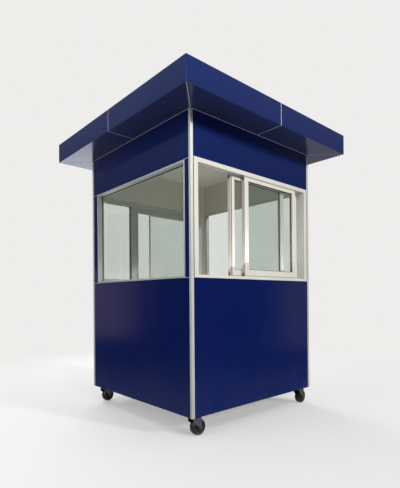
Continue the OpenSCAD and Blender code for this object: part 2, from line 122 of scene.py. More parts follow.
class Finish:
    """A surface finish: one Principled shader and the nodes that vary it over the surface."""

    def __init__(self, name, **constants):
        self.material = bpy.data.materials.new(name)
        self.material.use_nodes = True
        self.tree = self.material.node_tree
        self.tree.nodes.clear()
        self.output = self.tree.nodes.new("ShaderNodeOutputMaterial")
        self.shader = self.tree.nodes.new("ShaderNodeBsdfPrincipled")
        self.tree.links.new(self.shader.outputs[0], self.output.inputs["Surface"])
        self.place = self.node("ShaderNodeTexCoord", {}, {}, "Object")
        self.set(**constants)

    def node(self, kind, settings, inputs, outlet=0):
        made = self.tree.nodes.new(kind)
        for key, value in settings.items():
            setattr(made, key, value)
        for key, value in inputs.items():
            if isinstance(value, Wire):
                self.tree.links.new(value.socket, made.inputs[key])
            else:
                made.inputs[key].default_value = value
        return Wire(self, made.outputs[outlet])

    def set(self, **inputs):
        """Sets the shader's sockets, named with _ for a space, to a constant or a wire."""
        for key, value in inputs.items():
            socket = self.shader.inputs[key.replace("_", " ")]
            if isinstance(value, Wire):
                self.tree.links.new(value.socket, socket)
            elif isinstance(value, tuple):
                socket.default_value = (*value, 1.0)
            else:
                socket.default_value = value

    def tint(self, share, first, second):
        """A colour from first to second by share."""
        colours = {6: first, 7: second}
        full = {k: c if isinstance(c, Wire) else (*c, 1.0) for k, c in colours.items()}
        return self.node("ShaderNodeMix", {"data_type": "RGBA"}, {0: share, **full}, 2)

    def stretched(self, stretch):
        """The place on the surface, with each axis scaled."""
        scaled = {0: self.place, 1: stretch}
        return self.node("ShaderNodeVectorMath", {"operation": "MULTIPLY"}, scaled)

    def noise(self, scale, detail=3.0, stretch=(1, 1, 1), roughness=0.5):
        """Soft random variation between 0 and 1; scale is in features to the metre."""
        inputs = {"Vector": self.stretched(stretch), "Scale": scale, "Detail": detail,
                  "Roughness": roughness}
        return self.node("ShaderNodeTexNoise", {}, inputs)

    def specks(self, scale, stretch=(1, 1, 1)):
        """The distance to the nearest of many scattered points."""
        inputs = {"Vector": self.stretched(stretch), "Scale": scale}
        return self.node("ShaderNodeTexVoronoi", {}, inputs, "Distance")

    def grains(self, scale):
        """A random grey for each of many small cells."""
        inputs = {"Vector": self.place, "Scale": scale}
        colour = self.node("ShaderNodeTexVoronoi", {}, inputs, "Color")
        return self.node("ShaderNodeSeparateColor", {}, {0: colour})

    def along(self, axis):
        """The distance along an axis of the booth, in metres."""
        return self.node("ShaderNodeSeparateXYZ", {}, {0: self.place}, axis)

    def facing_up(self):
        """How far the surface faces up: 1 on top, 0 on a wall, -1 underneath."""
        normal = self.node("ShaderNodeNewGeometry", {}, {}, "True Normal")
        return self.node("ShaderNodeSeparateXYZ", {}, {0: normal}, "Z")

    def step(self, value, start, end, low=0.0, high=1.0):
        """A smooth rise from low to high while value goes from start to end."""
        ends = {"Value": value, 1: start, 2: end, 3: low, 4: high}
        return self.node("ShaderNodeMapRange", {"interpolation_type": "SMOOTHSTEP"}, ends)

    def relief(self, height, depth, strength=1.0, under=None):
        """The surface's normal with a height pattern on it, depth metres deep."""
        inputs = {"Height": height, "Distance": depth, "Strength": strength}
        if under is not None:
            inputs["Normal"] = under
        return self.node("ShaderNodeBump", {}, inputs)


def coated_sheet(name, deep, worn, wear):
    """Glossy navy coil coating on composite sheet, its base colour broken by wear and dust, and painted
    paler on faces that look down as painted light bounced up from the floor.
    """
    f = Finish(name, Specular_IOR_Level=0.5, Specular_Tint=(0.24, 0.44, 1.0), Coat_Roughness=0.06,
               Coat_IOR=1.45)
    broad = f.noise(1.3, 2.0)
    rolled = f.noise(3.0, 3.0, (5, 5, 0.3))
    cloudy = f.noise(6.0, 5.0)
    fine = f.noise(900, 2.0)
    low_dust = f.step(f.along("Z"), base_z + 0.42, base_z - 0.02) * f.step(cloudy, 0.35, 0.75)
    scuff = f.step(f.noise(38, 6.0, (1, 1, 5), 0.7), 0.68, 0.8) * wear
    shade = f.tint(broad * 0.55 + rolled * 0.45, deep, tuple(c * 1.28 + 0.001 for c in deep))
    film = low_dust * 0.02 + f.step(f.noise(2.2, 6.0), 0.5, 0.9) * 0.010
    # Faces that look down are tinted paler here. This is painted light standing in for light bounced up
    # from the floor onto the soffit, not dust. From this line on, film and dusty carry this painted
    # light as well as the real dust.
    film = film + f.step(f.facing_up(), -0.5, -0.9) * (0.075 + cloudy * 0.06)
    dusty = f.tint(film, shade, (0.20, 0.19, 0.17))
    f.set(Base_Color=f.tint(scuff, dusty, worn))
    f.set(Roughness=0.13 + 0.06 * cloudy + 0.10 * low_dust + 0.03 * rolled + 0.25 * scuff)
    f.set(Coat_Weight=f.step(low_dust + scuff, 0.0, 1.0, 0.05, 0.01))
    waves = f.relief(f.noise(1.7, 1.0, (1, 1, 0.55)), 0.0030, 0.35)
    peel = f.relief(f.noise(260, 1.0) * 0.6 + fine * 0.4, 0.00001, 0.25, waves)
    f.set(Normal=peel)
    return f


def drawn_aluminium(name, pale, dark, sheen_rough, metal, along):
    """Satin aluminium section with die lines along its length."""
    f = Finish(name, Specular_IOR_Level=0.5)
    stretch = {"Z": (1, 1, 0.012), "X": (0.012, 1, 1), "any": (0.35, 0.35, 0.35)}[along]
    lines = f.noise(1400, 3.0, stretch)
    mottled = f.noise(9, 5.0)
    smear = f.step(f.noise(17, 5.0, (1, 1, 0.4)), 0.5, 0.75)
    grime = f.step(f.along("Z"), base_z + 0.25, base_z) * mottled
    base = f.tint(mottled * 0.6 + lines * 0.4, dark, pale)
    f.set(Base_Color=f.tint(grime * 0.5 + smear * 0.06, base, (0.16, 0.15, 0.13)))
    f.set(Metallic=f.step(grime, 0.1, 0.7, metal, metal * 0.5))
    f.set(Roughness=sheen_rough + 0.10 * mottled + 0.08 * lines + 0.12 * smear)
    f.set(Normal=f.relief(lines, 0.00003, 0.5, f.relief(f.noise(3, 1.0), 0.0008, 0.12)))
    return f


def powder_coat(name, pale, shade, chip):
    """Satin powder coat: a fine peel, a little grime in short upright streaks and rubbed patches."""
    f = Finish(name, Specular_IOR_Level=0.5)
    mottled = f.noise(7, 5.0)
    rubbed = f.step(f.noise(24, 6.0, (1, 1, 1), 0.7), 0.55, 0.72)
    grime = f.step(f.noise(60, 4.0, (1, 1, 0.25)), 0.6, 0.85) * chip
    tone = f.tint(mottled, shade, pale)
    f.set(Base_Color=f.tint(grime * 0.55 + rubbed * 0.05, tone, (0.22, 0.20, 0.16)))
    f.set(Roughness=0.34 + 0.14 * mottled + 0.12 * rubbed)
    f.set(Normal=f.relief(f.noise(420, 2.0), 0.00006, 0.5, f.relief(f.noise(4, 1.0), 0.0006, 0.1)))
    return f


def float_glass():
    """Lightly tinted float glass: see-through, with a mirror share that grows at a glance."""
    f = Finish("float glass")
    smudge = f.step(f.noise(5, 6.0, (1, 1, 0.7), 0.62), 0.48, 0.8)
    dust = f.step(f.noise(90, 5.0), 0.55, 0.9)
    waves = f.relief(f.noise(2.5, 1.0), 0.0012, 0.25)
    mirror = f.node("ShaderNodeBsdfGlossy", {}, {"Color": (0.93, 0.97, 0.95, 1), "Normal": waves,
                                                 "Roughness": 0.015})
    clear = f.node("ShaderNodeBsdfTransparent", {}, {"Color": (0.925, 0.945, 0.93, 1)})
    film = f.node("ShaderNodeBsdfDiffuse", {}, {"Color": (0.52, 0.56, 0.52, 1)})
    glance = f.node("ShaderNodeLayerWeight", {}, {"Blend": 0.5}, "Facing")
    sheen = 0.035 + 0.9 * glance ** 5.0
    pane = f.node("ShaderNodeMixShader", {}, {0: sheen, 1: clear, 2: mirror})
    dirt = 0.012 + smudge * 0.02 + dust * 0.012
    smeared = f.node("ShaderNodeMixShader", {}, {0: dirt, 1: pane, 2: film})
    f.tree.links.new(smeared.socket, f.output.inputs["Surface"])
    f.tree.nodes.remove(f.shader)
    return f


def room_board(name, pale, shade, grain):
    """Matt board with a faint grain, soft stains and small dents."""
    f = Finish(name, Specular_IOR_Level=0.35)
    fibres = f.noise(500, 3.0, grain)
    mottled = f.noise(3.5, 5.0)
    dents = f.specks(7)
    f.set(Base_Color=f.tint(mottled * 0.7 + fibres * 0.3, shade, pale))
    f.set(Roughness=0.62 + 0.16 * mottled - 0.06 * fibres)
    f.set(Normal=f.relief(fibres * 0.5 + f.step(dents, 0.0, 0.12), 0.00018, 0.4))
    return f


def roof_skin():
    """Grey sealed roof sheet: spangle, rain streaks and settled dust."""
    f = Finish("roof sheet", Specular_IOR_Level=0.5)
    spangle = f.grains(140)
    stain = f.noise(2.2, 6.0)
    puddle = f.step(f.noise(1.6, 3.0), 0.52, 0.6)
    metal = f.tint(spangle * 0.6 + stain * 0.4, (0.30, 0.31, 0.33), (0.50, 0.51, 0.52))
    f.set(Base_Color=f.tint(puddle * 0.35 + stain * 0.2, metal, (0.25, 0.24, 0.21)))
    f.set(Metallic=f.step(puddle, 0.0, 1.0, 0.55, 0.2))
    f.set(Roughness=0.38 + 0.25 * stain + 0.15 * puddle)
    f.set(Normal=f.relief(f.noise(3, 2.0), 0.003, 0.3))
    return f


def floor_vinyl():
    """Grey vinyl with small chips of darker and paler grey, dull where feet go."""
    f = Finish("floor vinyl", Specular_IOR_Level=0.5)
    chips = f.grains(260)
    walked = f.step(f.noise(2.0, 4.0), 0.4, 0.7)
    base = f.tint(chips, (0.16, 0.165, 0.17), (0.33, 0.33, 0.32))
    f.set(Base_Color=f.tint(walked * 0.35, base, (0.22, 0.20, 0.17)))
    f.set(Roughness=0.42 + 0.25 * walked + 0.06 * chips)
    f.set(Normal=f.relief(f.noise(700, 2.0), 0.00005, 0.5))
    return f


def primed_steel():
    """Dark primer on mill steel, with rust coming through in specks."""
    f = Finish("primed steel", Specular_IOR_Level=0.5)
    mottled = f.noise(14, 6.0)
    rust = f.step(f.noise(55, 8.0, (1, 1, 1), 0.75), 0.6, 0.72)
    base = f.tint(mottled, (0.022, 0.022, 0.025), (0.055, 0.055, 0.058))
    f.set(Base_Color=f.tint(rust, base, (0.16, 0.055, 0.02)))
    f.set(Roughness=0.48 + 0.2 * mottled + 0.2 * rust)
    f.set(Normal=f.relief(f.noise(260, 3.0) + rust, 0.00025, 0.5))
    return f


def plated_steel(name, bright, dull, low, spread):
    """Plated steel with a faint crystal pattern and a bloom of white dust."""
    f = Finish(name, Specular_IOR_Level=0.5)
    crystals = f.grains(420)
    bloom = f.step(f.noise(34, 6.0), 0.45, 0.75)
    f.set(Base_Color=f.tint(bloom * 0.6 + crystals * 0.25, bright, dull))
    f.set(Metallic=f.step(bloom, 0.0, 1.0, 0.95, 0.6))
    f.set(Roughness=low + spread * bloom + 0.06 * crystals)
    f.set(Normal=f.relief(f.noise(800, 2.0), 0.00004, 0.5))
    return f


def brushed_steel():
    """Brushed stainless hardware with hand marks."""
    f = Finish("brushed steel", Specular_IOR_Level=0.5, Metallic=1.0)
    brushing = f.noise(1500, 2.0, (1, 1, 0.02))
    hand = f.step(f.noise(26, 4.0), 0.5, 0.8)
    f.set(Base_Color=f.tint(brushing * 0.5 + hand * 0.3, (0.62, 0.61, 0.59), (0.40, 0.40, 0.39)))
    f.set(Roughness=0.24 + 0.12 * brushing + 0.16 * hand)
    f.set(Normal=f.relief(brushing, 0.00003, 0.6))
    return f


def black_rubber(name, dark, dusty, dust_from, dust_to):
    """Black rubber or nylon, paler where dust has settled between two heights."""
    f = Finish(name, Specular_IOR_Level=0.45)
    mottled = f.noise(45, 5.0)
    dust = f.step(f.along("Z"), dust_from, dust_to) * f.step(mottled, 0.35, 0.75)
    scratch = f.step(f.noise(120, 6.0, (1, 1, 0.3), 0.7), 0.62, 0.75)
    base = f.tint(mottled, dark, tuple(c * 1.7 for c in dark))
    f.set(Base_Color=f.tint(dust * 0.55 + scratch * 0.12, base, dusty))
    f.set(Roughness=0.36 + 0.18 * mottled + 0.25 * dust)
    f.set(Normal=f.relief(f.noise(600, 2.0) * 0.6 + scratch, 0.00008, 0.5))
    return f


def silicone(name, pale, grimy):
    """Tooled silicone sealant: slightly wavy, dirt caught on it."""
    f = Finish(name, Specular_IOR_Level=0.4)
    grime = f.step(f.noise(75, 6.0), 0.5, 0.8)
    f.set(Base_Color=f.tint(grime * 0.6, pale, grimy))
    f.set(Roughness=0.42 + 0.25 * grime)
    f.set(Normal=f.relief(f.noise(220, 3.0), 0.0003, 0.5))
    return f


navy = (0.0016, 0.0070, 0.064)
navy_worn = (0.030, 0.042, 0.130)
FINISH = {
    "navy_composite": coated_sheet("navy coated sheet", navy, navy_worn, 0.18),
    "post_aluminium": drawn_aluminium("post trim", (0.62, 0.61, 0.57), (0.50, 0.50, 0.47),
                                      0.34, 0.35, "Z"),
    "cream_aluminium": powder_coat("off-white coat", (0.66, 0.635, 0.565), (0.58, 0.56, 0.50), 0.25),
    "frame_aluminium": drawn_aluminium("silver frame", (0.56, 0.58, 0.54), (0.44, 0.465, 0.43),
                                       0.30, 0.45, "any"),
    "lining_board": room_board("wall board", (0.56, 0.55, 0.47), (0.49, 0.48, 0.41), (1, 1, 0.06)),
    "ceiling_board": room_board("ceiling board", (0.64, 0.62, 0.52), (0.57, 0.555, 0.465), (0.06, 1, 1)),
    "roof_sheet": roof_skin(),
    "floor_board": floor_vinyl(),
    "base_steel": primed_steel(),
    "window_glass": float_glass(),
    "hardware_steel": brushed_steel(),
    "caster_zinc": plated_steel("dark zinc plate", (0.20, 0.205, 0.22), (0.11, 0.11, 0.12), 0.30, 0.22),
    "wheel_nylon": black_rubber("wheel tread", (0.008, 0.008, 0.009), (0.10, 0.095, 0.085), 0.05, 0.0),
}
cut_edge = coated_sheet("rubbed navy edge", (0.012, 0.020, 0.105), (0.34, 0.35, 0.36), 0.75)
sealant = silicone("grey sealant", (0.42, 0.42, 0.43), (0.17, 0.165, 0.15))
corner_sealant = silicone("blue-grey sealant", (0.085, 0.09, 0.18), (0.04, 0.04, 0.06))
soffit_sealant = silicone("mauve-grey sealant", (0.21, 0.20, 0.29), (0.13, 0.12, 0.15))
gasket = black_rubber("glazing gasket", (0.010, 0.011, 0.010), (0.06, 0.06, 0.055), sill_z + 0.1, sill_z)
nylon = silicone("grey nylon", (0.10, 0.10, 0.10), (0.06, 0.06, 0.06))
pile = silicone("pile seal", (0.16, 0.16, 0.16), (0.08, 0.08, 0.08))
bright_screw = plated_steel("bright screw", (0.62, 0.61, 0.58), (0.38, 0.37, 0.35), 0.24, 0.2)
hub_plastic = black_rubber("hub plastic", (0.016, 0.016, 0.017), (0.09, 0.085, 0.08), 0.04, 0.0)
white_trim = powder_coat("white trim", (0.60, 0.60, 0.56), (0.52, 0.52, 0.49), 0.1)


# ---- Making pieces ----


def finish_piece(name, bm, finishes, body, replaces=()):
    """Turns a bmesh into a piece of the booth that rides on one body."""
    bmesh.ops.recalc_face_normals(bm, faces=bm.faces)
    mesh = bpy.data.meshes.new(name)
    bm.to_mesh(mesh)
    bm.free()
    for finish in finishes:
        mesh.materials.append(finish.material)
    mesh.polygons.foreach_set("use_smooth", [True] * len(mesh.polygons))
    mesh.set_sharp_from_angle(angle=math.radians(50))
    piece = bpy.data.objects.new(name, mesh)
    bpy.context.scene.collection.objects.link(piece)
    weigh = piece.modifiers.new("even shading", "WEIGHTED_NORMAL")
    weigh.keep_sharp = True
    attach(piece, body)
    if replaces:
        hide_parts(*replaces)
    return piece


def ease_edges(bm, radius, rounds=2, sharp=25, second_finish=False):
    """Rounds every edge that is sharper than the given angle."""
    limit = math.radians(sharp)
    edges = [e for e in bm.edges if len(e.link_faces) == 2 and e.calc_face_angle(0) > limit]
    bmesh.ops.bevel(bm, geom=edges, offset=radius, segments=rounds, profile=0.5, affect="EDGES",
                    clamp_overlap=True, material=1 if second_finish else -1)


def finished(node, radius, rounds=2, edge=None):
    """A CAD node's own form with its edges rounded, standing for the node."""
    bm = bmesh.new()
    bm.from_mesh(frame["nodes"][node].data)
    bmesh.ops.remove_doubles(bm, verts=bm.verts, dist=1e-6)
    bmesh.ops.dissolve_limit(bm, angle_limit=math.radians(0.5), verts=bm.verts, edges=bm.edges)
    for face in bm.faces:
        face.material_index = 0
    ease_edges(bm, radius, rounds, second_finish=edge is not None)
    slot = node_slot[node]
    finishes = [FINISH[slot]] + ([edge] if edge else [])
    return finish_piece(f"{node}_finished", bm, finishes, node_body[node], [node])


def add_bar(bm, low, high, ease=0.0):
    """A straight bar between two corners, with eased edges."""
    low, high = Vector(low), Vector(high)
    middle, size = (low + high) / 2, high - low
    bar = bmesh.new()
    shape = Matrix.Translation(middle) @ Matrix.Diagonal((*size, 1.0))
    bmesh.ops.create_cube(bar, size=1.0, matrix=shape)
    if ease:
        ease_edges(bar, ease)
    join(bm, bar)


def join(bm, part, matrix=Matrix.Identity(4)):
    """Adds one bmesh's faces to another, and frees it."""
    mesh = bpy.data.meshes.new("part")
    part.transform(matrix)
    part.to_mesh(mesh)
    part.free()
    bm.from_mesh(mesh)
    bpy.data.meshes.remove(mesh)


def skin(bm, rings, closed=True):
    """Faces between neighbouring rings of points, run round into a loop or capped at both ends."""
    for near, far in zip(rings, rings[1:] + rings[:1] if closed else rings[1:]):
        for i in range(len(near)):
            k = (i + 1) % len(near)
            bm.faces.new((near[i], near[k], far[k], far[i]))
    if not closed:
        bm.faces.new(rings[0])
        bm.faces.new(rings[-1])


def add_turned(bm, profile, matrix, steps=32):
    """A turned shape: (radius, height) points swept about Z, then placed by matrix."""
    part = bmesh.new()
    rings = []
    for radius, height in profile:
        if radius < 1e-7:
            rings.append([part.verts.new((0, 0, height))])
            continue
        turn = [2 * math.pi * i / steps for i in range(steps)]
        rings.append([part.verts.new((radius * math.cos(a), radius * math.sin(a), height))
                      for a in turn])
    for low, high in zip(rings, rings[1:]):
        for i in range(max(len(low), len(high))):
            corners = [low[i % len(low)], low[(i + 1) % len(low)],
                       high[(i + 1) % len(high)], high[i % len(high)]]
            part.faces.new(list(dict.fromkeys(corners)))
    for ring in (rings[0], rings[-1]):
        if len(ring) > 1:
            part.faces.new(ring)
    join(bm, part, matrix)


def facing(point, direction):
    """A matrix that puts +Z along a direction, with its origin at a point."""
    turned = Vector(direction).to_track_quat("Z", "Y").to_matrix().to_4x4()
    return Matrix.Translation(point) @ turned


def cove(r):
    """A hollow quarter round between two faces that meet: points (out from one, out from the other)."""
    return [(r * (1 - math.sin(a)), r * (1 - math.cos(a))) for a in (0, 0.39, 0.79, 1.18, 1.57)]


def add_bead(bm, start, end, outward, width, rise, sink=0.002):
    """A run of sealant between two points: a low dome above the joint, tucked in below."""
    start, end, outward = Vector(start), Vector(end), Vector(outward).normalized()
    across = (end - start).cross(outward).normalized() * (width / 2)
    outline = [across - outward * sink, across, across * 0.6 + outward * rise * 0.75, outward * rise,
               -across * 0.6 + outward * rise * 0.75, -across, -across - outward * sink]
    skin(bm, [[bm.verts.new(point + step) for step in outline] for point in (start, end)], closed=False)


def add_loop(bm, plane, low, high, profile):
    """A mitred strip round a rectangle. plane is "XZ" or "YZ"; profile points are (in towards the
    middle of the rectangle, along the plane's normal axis)."""
    rings = []
    for sx, sz in round_plan:
        ring = []
        for inward, depth in profile:
            u = (high[0] if sx > 0 else low[0]) - sx * inward
            w = (high[1] if sz > 0 else low[1]) - sz * inward
            ring.append(bm.verts.new((u, depth, w) if plane == "XZ" else (depth, u, w)))
        rings.append(ring)
    skin(bm, rings)


def add_screw(bm, point, direction, radius):
    """A pan-head screw with a round driver recess, its head standing on a face."""
    r, h = radius, radius * 0.55
    profile = [(0, -0.0005), (r, -0.0005), (r, h * 0.25), (r * 0.93, h * 0.6), (r * 0.72, h * 0.9),
               (r * 0.45, h), (r * 0.30, h), (r * 0.22, h * 0.35), (0, h * 0.3)]
    add_turned(bm, profile, facing(point, direction), 20)


def add_hex_bolt(bm, point, direction, across):
    """A hexagon bolt head with a chamfered top, on its washer."""
    r = across / 2 / math.cos(math.pi / 6)
    washer = [(0, -0.0005), (r * 1.35, -0.0005), (r * 1.35, 0.0012), (r * 1.28, 0.0016), (0, 0.0016)]
    add_turned(bm, washer, facing(point, direction), 28)
    top = across * 0.45
    head = [(0, 0.0012), (r, 0.0012), (r, top - 0.0008), (r * 0.88, top), (0, top)]
    add_turned(bm, head, facing(point, direction), 6)


# ---- Walls and canopy ----

sheet_nodes = ["front_lower_panel", "front_upper_panel", "left_lower_panel", "left_upper_panel",
               "right_lower_panel", "right_upper_panel", "rear_lower_panel", "rear_right_panel",
               "rear_upper_panel", "cladding_strips"]
for node in sheet_nodes:
    finished(node, 0.0008, 2, cut_edge)
for side in ("front", "left", "rear", "right"):
    finished(f"canopy_{side}", 0.0011, 2, cut_edge)
finished("corner_posts", 0.0022, 3)


def wall_joints():
    """Sealant in the joints between panels, from the window corners to the posts."""
    bm = bmesh.new()
    width, rise = 0.0042, 0.0006
    for sx in (-1, 1):
        for z in (sill_z, side_head):
            for y0, y1 in ((-edge_y, window_low.y), (window_high.y, edge_y)):
                add_bead(bm, (sx * face_x, y0, z), (sx * face_x, y1, z), (sx, 0, 0), width, rise)
        for z in (sill_z, front_head):
            add_bead(bm, (sx * edge_x, -face_y, z), (sx * slide_high.x, -face_y, z), (0, -1, 0),
                     width, rise)
    for z, x0, x1 in ((sill_z, -edge_x, side_low.x), (side_head, -edge_x, side_low.x),
                      (side_head, door_high.x, edge_x)):
        add_bead(bm, (x0, face_y, z), (x1, face_y, z), (0, 1, 0), width, rise)
    return finish_piece("panel_joint_sealant", bm, [sealant], "booth")


def soffit_bead():
    """The fillet of sealant where the walls meet the soffit."""
    bm = bmesh.new()
    r = 0.0042
    outline = [(0, 0.001)] + [(out, -down) for out, down in cove(r)] + [(-0.001, -r)]
    for x0, y0, x1, y1, nx, ny in ((-edge_x, -face_y, edge_x, -face_y, 0, -1),
                                   (-edge_x, face_y, edge_x, face_y, 0, 1),
                                   (-face_x, -edge_y, -face_x, edge_y, -1, 0),
                                   (face_x, -edge_y, face_x, edge_y, 1, 0)):
        skin(bm, [[bm.verts.new((x + nx * out, y + ny * out, wall_top + up)) for out, up in outline]
                  for x, y in ((x0, y0), (x1, y1))], closed=False)
    return finish_piece("soffit_sealant", bm, [soffit_sealant], "booth")


def canopy_joints():
    """Sealant in the canopy's open seams: mid fascia, mid soffit and the mitred corners."""
    bm = bmesh.new()
    seam = 0.0080
    rise = 0.0004
    inside = 0.0007
    for sx, sy, reach, wall in ((0, -1, canopy_y, core_y), (0, 1, canopy_y, core_y),
                                (-1, 0, canopy_x, core_x), (1, 0, canopy_x, core_x)):
        out = Vector((sx, sy, 0))
        outer = out * (reach - inside)
        add_bead(bm, outer + Vector((0, 0, wall_top + 0.001)), outer + Vector((0, 0, roof_z - 0.001)),
                 out, seam, rise)
        under = wall_top + inside
        edge = out * (reach - 0.0015)
        add_bead(bm, out * wall + Vector((0, 0, under)), edge + Vector((0, 0, under)), (0, 0, -1),
                 seam, rise)
        top = roof_z - inside
        add_bead(bm, out * (reach - 0.022) + Vector((0, 0, top)), edge + Vector((0, 0, top)), (0, 0, 1),
                 seam, rise)
    for sx in (-1, 1):
        for sy in (-1, 1):
            inner = Vector((sx * core_x, sy * core_y, wall_top + inside))
            outer = Vector((sx * (canopy_x - sheet_t), sy * (canopy_y - sheet_t), wall_top + inside))
            add_bead(bm, inner, outer, (0, 0, -1), seam, rise)
    return finish_piece("canopy_sealant", bm, [sealant], "booth")


def canopy_corners():
    """A line of sealant down each folded corner of the fascia."""
    bm = bmesh.new()
    inside = 0.0016
    for sx in (-1, 1):
        for sy in (-1, 1):
            x, y = sx * (canopy_x - inside), sy * (canopy_y - inside)
            add_bead(bm, (x, y, wall_top + 0.001), (x, y, roof_z - 0.001), (sx, sy, 0), 0.0042, 0.0007)
    return finish_piece("canopy_corner_sealant", bm, [corner_sealant], "booth")


wall_joints()
soffit_bead()
canopy_joints()
canopy_corners()

# ---- Windows ----

for node in ("front_window_frame", "outer_sash", "inner_sash"):
    finished(node, 0.0010, 2)
for node in ("left_window_frame", "right_window_frame", "door_frame", "sidelight_frame", "door_leaf"):
    finished(node, 0.0009, 2)


def glazing_gaskets():
    """Rubber wedges round every pane, on both faces of the glass."""
    bm = bmesh.new()
    grip = 0.0045

    thick = 0.0035

    def wedge(face, way, swell):
        """One face's wedge, from just under the frame in over the glass."""
        return [(-0.0004, face), (grip, face), (grip * 0.85, face + way * swell),
                (grip * 0.45, face + way * thick), (-0.0004, face + way * thick)]

    for node in ("outer_sash_glass", "inner_sash_glass", "sidelight_glass"):
        low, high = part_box(node)
        for face, way in ((low.y, -1), (high.y, 1)):
            add_loop(bm, "XZ", (low.x, low.z), (high.x, high.z), wedge(face, way, thick * 0.5))
    low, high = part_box("left_window_glass")
    for sx in (-1, 1):
        add_loop(bm, "YZ", (low.y, low.z), (high.y, high.z), wedge(sx * -low.x, sx, 0.0018))
    return finish_piece("glazing_gaskets", bm, [gasket], "booth")


glazing_gaskets()


def sash_fittings():
    """Nylon guides at the sash corners, a pile seal along each lip and the meeting stile."""
    guides = bmesh.new()
    seals = bmesh.new()
    for low, high in ((outer_low, outer_high), (inner_low, inner_high)):
        y0, y1 = low.y + 0.007, high.y - 0.007
        for x, way in ((low.x, -1), (high.x, 1)):
            for z0, z1 in ((low.z + 0.012, low.z + 0.040), (high.z - 0.040, high.z - 0.014)):
                a, b = sorted((x - way * 0.001, x + way * 0.0035))
                add_bar(guides, (a, y0, z0), (b, y1, z1), 0.0008)
        for z in (low.z + 0.0165, high.z - 0.0115):
            for y in (low.y - 0.0006, high.y - 0.0003):
                add_bar(seals, (low.x + 0.002, y, z - 0.0035), (high.x - 0.002, y + 0.0009, z + 0.0005),
                        0.0002)
    middle = (outer_high.y + inner_low.y) / 2
    add_bar(seals, (inner_low.x + 0.006, middle - 0.0022, inner_low.z + 0.02),
            (inner_low.x + 0.012, middle + 0.0022, inner_high.z - 0.02), 0.0004)
    finish_piece("sash_guides", guides, [nylon], "booth")
    finish_piece("sash_pile_seals", seals, [pile], "booth")


sash_fittings()


def sash_latch():
    """A small hook latch on the room side of the inner sash's meeting stile."""
    bm = bmesh.new()
    x, y, z = inner_low.x + 0.024, inner_high.y, (inner_low.z + inner_high.z) / 2
    add_bar(bm, (x - 0.011, y - 0.0005, z - 0.045), (x + 0.011, y + 0.004, z + 0.045), 0.0016)
    add_turned(bm, [(0, 0), (0.0085, 0), (0.0085, 0.009), (0.007, 0.0105), (0, 0.0105)],
               facing((x, y + 0.0035, z), (0, 1, 0)), 28)
    add_bar(bm, (x - 0.0045, y + 0.007, z - 0.004), (x + 0.0045, y + 0.0125, z + 0.038), 0.0018)
    for dz in (-0.036, 0.036):
        add_screw(bm, (x, y + 0.004, z + dz), (0, 1, 0), 0.003)
    return finish_piece("sash_latch", bm, [FINISH["hardware_steel"]], "booth")


sash_latch()


def frame_screws():
    """Screws that hold the sash corners and the door frame."""
    bm = bmesh.new()
    for low, high in ((outer_low, outer_high), (inner_low, inner_high)):
        for x, way in ((low.x, -1), (high.x, 1)):
            for z in (low.z + 0.052, high.z - 0.052):
                add_screw(bm, (x, (low.y + high.y) / 2, z), (way, 0, 0), 0.0028)
    for x in (door_low.x + 0.012, door_high.x - 0.012):
        for i in range(4):
            z = door_low.z + 0.2 + i * (door_high.z - door_low.z - 0.4) / 3
            add_screw(bm, (x, door_high.y, z), (0, 1, 0), 0.0032)
    return finish_piece("frame_screws", bm, [bright_screw], "booth")


frame_screws()

# ---- Door ----

finished("door_handles", 0.0012, 2)
finished("frame_hinges", 0.0006, 2)
finished("leaf_hinges", 0.0006, 2)


def door_fittings():
    """Glass gasket, lock, hinge screws and the bead round the lower panel; all swing with the leaf."""
    rubber = bmesh.new()
    low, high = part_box("door_glass")
    for face, way in ((low.y, -1), (high.y, 1)):
        profile = [(-0.0004, face), (0.0045, face), (0.0038, face + way * 0.002),
                   (0.002, face + way * 0.0038), (-0.0004, face + way * 0.0038)]
        add_loop(rubber, "XZ", (low.x, low.z), (high.x, high.z), profile)
    finish_piece("door_glass_gasket", rubber, [gasket], "door")
    bead = bmesh.new()
    low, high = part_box("door_panel")
    for face, way in ((low.y, -1), (high.y, 1)):
        profile = [(-0.0004, face), (0.010, face), (0.010, face + way * 0.0012),
                   (0.002, face + way * 0.0065), (-0.0004, face + way * 0.0065)]
        add_loop(bead, "XZ", (low.x, low.z), (high.x, high.z), profile)
    finish_piece("door_panel_beads", bead, [FINISH["frame_aluminium"]], "door")
    metal = bmesh.new()
    handle_low, handle_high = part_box("door_handles")
    x = handle_low.x + 0.017
    for y, way in ((leaf_high.y + 0.005, 1), (leaf_low.y - 0.005, -1)):
        z = handle_low.z + 0.052
        rim = [(0, -0.0005), (0.0115, -0.0005), (0.0115, 0.002), (0.0100, 0.0036), (0.0078, 0.0036),
               (0.0074, 0.0028), (0, 0.0028)]
        add_turned(metal, rim, facing((x, y, z), (0, way, 0)), 36)
        for dz in (0.012 - (z - handle_low.z), handle_high.z - z - 0.012):
            add_screw(metal, (x, y, z + dz), (0, way, 0), 0.003)
    hinge_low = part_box("leaf_hinges")[0]
    for low_z in hinge_heights():
        for dz in hinge_screw_steps:
            add_screw(metal, (hinge_low.x + 0.012, leaf_high.y + 0.003, low_z + dz), (0, 1, 0), 0.0032)
    finish_piece("door_screws", metal, [FINISH["hardware_steel"]], "door")
    slot = bmesh.new()
    for y, way in ((leaf_high.y + 0.005, 1), (leaf_low.y - 0.005, -1)):
        a, b = sorted((y + way * 0.0022, y + way * 0.0031))
        add_bar(slot, (x - 0.0006, a, z - 0.0042), (x + 0.0006, b, z + 0.0042), 0.0002)
    finish_piece("door_keyholes", slot, [gasket], "door")


def hinge_heights():
    """The lower ends of the three hinges, from the hinge node's own corners."""
    levels = sorted({round(v.co.z, 4) for v in frame["nodes"]["frame_hinges"].data.vertices})
    starts = [levels[0]]
    for z in levels:
        if z - starts[-1] > 0.15:
            starts.append(z)
    return starts


door_fittings()


